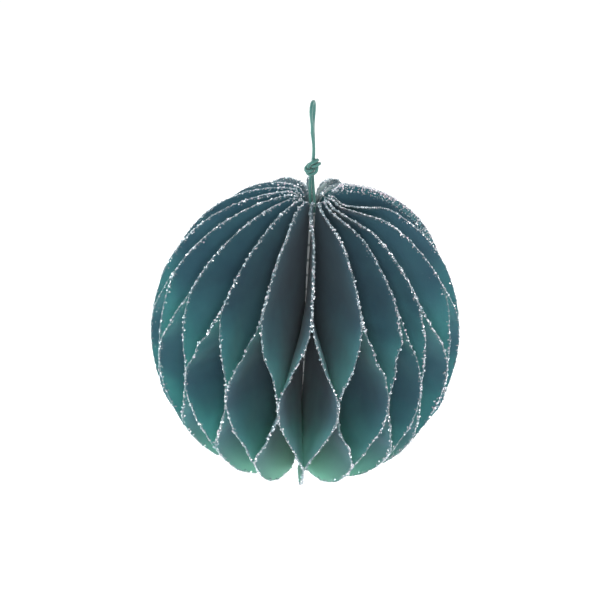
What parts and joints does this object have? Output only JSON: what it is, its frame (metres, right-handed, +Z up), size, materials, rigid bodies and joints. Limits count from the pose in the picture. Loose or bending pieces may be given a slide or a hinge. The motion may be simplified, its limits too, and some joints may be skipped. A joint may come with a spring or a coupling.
{
  "type": "paper honeycomb ball",
  "caption": "Hanging paper ball: a book of half-round pages opened through a full turn into diamond cells, on a doubled, knotted cord.",
  "frame": {"origin": "where the top of the cord's loop hangs on its hook", "axes": "+Z up along the hanging cord, -Y towards the viewer, +X to the viewer's right"},
  "size_m": [0.0997, 0.0988, 0.1322],
  "materials": {
    "page": "matt teal paper with a glitter edge",
    "cover": "matt teal paper-covered board with a glitter edge",
    "spine": "pale rolled paper",
    "magnet": "plated magnet disc",
    "cord": "twisted teal cord"
  },
  "bodies": {
    "hanger": {"cord_loop": "cord"},
    "cord": {"cord_strands": "cord", "cord_knot": "cord", "cord_neck": "cord"},
    "tail": {"inner_cord": "cord", "stopper_knot": "cord"},
    "ball": {"spine_tube": "spine", "cover_front": "cover", "magnets_front": "magnet", "page_01": "page"},
    "leaf_01": {"page_02": "page", "page_03": "page"},
    "leaf_02": {"page_04": "page", "page_05": "page"},
    "leaf_03": {"page_06": "page", "page_07": "page"},
    "leaf_04": {"page_08": "page", "page_09": "page"},
    "leaf_05": {"page_10": "page", "page_11": "page"},
    "leaf_06": {"page_12": "page", "page_13": "page"},
    "leaf_07": {"page_14": "page", "page_15": "page"},
    "leaf_08": {"page_16": "page", "page_17": "page"},
    "leaf_09": {"page_18": "page", "page_19": "page"},
    "leaf_10": {"page_20": "page", "page_21": "page"},
    "leaf_11": {"page_22": "page", "page_23": "page"},
    "leaf_12": {"page_24": "page", "page_25": "page"},
    "leaf_13": {"page_26": "page", "page_27": "page"},
    "leaf_14": {"page_28": "page", "page_29": "page"},
    "leaf_15": {"page_30": "page", "page_31": "page"},
    "leaf_16": {"page_32": "page", "page_33": "page"},
    "leaf_17": {"page_34": "page", "page_35": "page"},
    "back": {"cover_back": "cover", "magnets_back": "magnet", "page_36": "page"}
  },
  "joints": [
    {"name": "swing", "type": "hinge", "parent": "hanger", "child": "cord", "pos_m": [0, 0, -0.0091], "axis": [-0.9703, 0.2419, 0], "range_deg": [-35, 35]},
    {"name": "tilt", "type": "hinge", "parent": "cord", "child": "tail", "pos_m": [0, 0, -0.03396], "axis": [0.2419, 0.9703, 0], "range_deg": [-25, 25]},
    {"name": "spin", "type": "hinge", "parent": "tail", "child": "ball", "pos_m": [-0.00225, -0.0006, -0.0799], "axis": [0.0489, 0.0131, 0.9987], "continuous": true},
    {"name": "fold", "type": "hinge", "parent": "ball", "child": "back", "pos_m": [-0.00225, -0.0006, -0.0799], "axis": [-0.0489, -0.0131, -0.9987], "range_deg": [0, 342], "deforming": ["page_01", "page_36"]},
    {"name": "leaf_01_fold", "type": "hinge", "parent": "ball", "child": "leaf_01", "pos_m": [-0.00225, -0.0006, -0.0799], "axis": [-0.0489, -0.0131, -0.9987], "range_deg": [0, 21.9], "deforming": ["page_02", "page_03"]},
    {"name": "leaf_02_fold", "type": "hinge", "parent": "ball", "child": "leaf_02", "pos_m": [-0.00225, -0.0006, -0.0799], "axis": [-0.0489, -0.0131, -0.9987], "range_deg": [0, 41.85], "deforming": ["page_04", "page_05"]},
    {"name": "leaf_03_fold", "type": "hinge", "parent": "ball", "child": "leaf_03", "pos_m": [-0.00225, -0.0006, -0.0799], "axis": [-0.0489, -0.0131, -0.9987], "range_deg": [0, 61.8], "deforming": ["page_06", "page_07"]},
    {"name": "leaf_04_fold", "type": "hinge", "parent": "ball", "child": "leaf_04", "pos_m": [-0.00225, -0.0006, -0.0799], "axis": [-0.0489, -0.0131, -0.9987], "range_deg": [0, 82.23], "deforming": ["page_08", "page_09"]},
    {"name": "leaf_05_fold", "type": "hinge", "parent": "ball", "child": "leaf_05", "pos_m": [-0.00225, -0.0006, -0.0799], "axis": [-0.0489, -0.0131, -0.9987], "range_deg": [0, 102.65], "deforming": ["page_10", "page_11"]},
    {"name": "leaf_06_fold", "type": "hinge", "parent": "ball", "child": "leaf_06", "pos_m": [-0.00225, -0.0006, -0.0799], "axis": [-0.0489, -0.0131, -0.9987], "range_deg": [0, 122.6], "deforming": ["page_12", "page_13"]},
    {"name": "leaf_07_fold", "type": "hinge", "parent": "ball", "child": "leaf_07", "pos_m": [-0.00225, -0.0006, -0.0799], "axis": [-0.0489, -0.0131, -0.9987], "range_deg": [0, 141.12], "deforming": ["page_14", "page_15"]},
    {"name": "leaf_08_fold", "type": "hinge", "parent": "ball", "child": "leaf_08", "pos_m": [-0.00225, -0.0006, -0.0799], "axis": [-0.0489, -0.0131, -0.9987], "range_deg": [0, 157.75], "deforming": ["page_16", "page_17"]},
    {"name": "leaf_09_fold", "type": "hinge", "parent": "ball", "child": "leaf_09", "pos_m": [-0.00225, -0.0006, -0.0799], "axis": [-0.0489, -0.0131, -0.9987], "range_deg": [0, 175.8], "deforming": ["page_18", "page_19"]},
    {"name": "leaf_10_fold", "type": "hinge", "parent": "ball", "child": "leaf_10", "pos_m": [-0.00225, -0.0006, -0.0799], "axis": [-0.0489, -0.0131, -0.9987], "range_deg": [0, 194.8], "deforming": ["page_20", "page_21"]},
    {"name": "leaf_11_fold", "type": "hinge", "parent": "ball", "child": "leaf_11", "pos_m": [-0.00225, -0.0006, -0.0799], "axis": [-0.0489, -0.0131, -0.9987], "range_deg": [0, 211.9], "deforming": ["page_22", "page_23"]},
    {"name": "leaf_12_fold", "type": "hinge", "parent": "ball", "child": "leaf_12", "pos_m": [-0.00225, -0.0006, -0.0799], "axis": [-0.0489, -0.0131, -0.9987], "range_deg": [0, 231.85], "deforming": ["page_24", "page_25"]},
    {"name": "leaf_13_fold", "type": "hinge", "parent": "ball", "child": "leaf_13", "pos_m": [-0.00225, -0.0006, -0.0799], "axis": [-0.0489, -0.0131, -0.9987], "range_deg": [0, 251.8], "deforming": ["page_26", "page_27"]},
    {"name": "leaf_14_fold", "type": "hinge", "parent": "ball", "child": "leaf_14", "pos_m": [-0.00225, -0.0006, -0.0799], "axis": [-0.0489, -0.0131, -0.9987], "range_deg": [0, 268.42], "deforming": ["page_28", "page_29"]},
    {"name": "leaf_15_fold", "type": "hinge", "parent": "ball", "child": "leaf_15", "pos_m": [-0.00225, -0.0006, -0.0799], "axis": [-0.0489, -0.0131, -0.9987], "range_deg": [0, 280.3], "deforming": ["page_30", "page_31"]},
    {"name": "leaf_16_fold", "type": "hinge", "parent": "ball", "child": "leaf_16", "pos_m": [-0.00225, -0.0006, -0.0799], "axis": [-0.0489, -0.0131, -0.9987], "range_deg": [0, 302.15], "deforming": ["page_32", "page_33"]},
    {"name": "leaf_17_fold", "type": "hinge", "parent": "ball", "child": "leaf_17", "pos_m": [-0.00225, -0.0006, -0.0799], "axis": [-0.0489, -0.0131, -0.9987], "range_deg": [0, 323.05], "deforming": ["page_34", "page_35"]}
  ],
  "couplings": [
    {"joint": "leaf_01_fold", "follows": "fold", "ratio": 0.063889},
    {"joint": "leaf_02_fold", "follows": "fold", "ratio": 0.12222},
    {"joint": "leaf_03_fold", "follows": "fold", "ratio": 0.18056},
    {"joint": "leaf_04_fold", "follows": "fold", "ratio": 0.24028},
    {"joint": "leaf_05_fold", "follows": "fold", "ratio": 0.3},
    {"joint": "leaf_06_fold", "follows": "fold", "ratio": 0.35833},
    {"joint": "leaf_07_fold", "follows": "fold", "ratio": 0.4125},
    {"joint": "leaf_08_fold", "follows": "fold", "ratio": 0.46111},
    {"joint": "leaf_09_fold", "follows": "fold", "ratio": 0.51389},
    {"joint": "leaf_10_fold", "follows": "fold", "ratio": 0.56944},
    {"joint": "leaf_11_fold", "follows": "fold", "ratio": 0.61944},
    {"joint": "leaf_12_fold", "follows": "fold", "ratio": 0.67778},
    {"joint": "leaf_13_fold", "follows": "fold", "ratio": 0.73611},
    {"joint": "leaf_14_fold", "follows": "fold", "ratio": 0.78472},
    {"joint": "leaf_15_fold", "follows": "fold", "ratio": 0.81944},
    {"joint": "leaf_16_fold", "follows": "fold", "ratio": 0.88333},
    {"joint": "leaf_17_fold", "follows": "fold", "ratio": 0.94444}
  ]
}
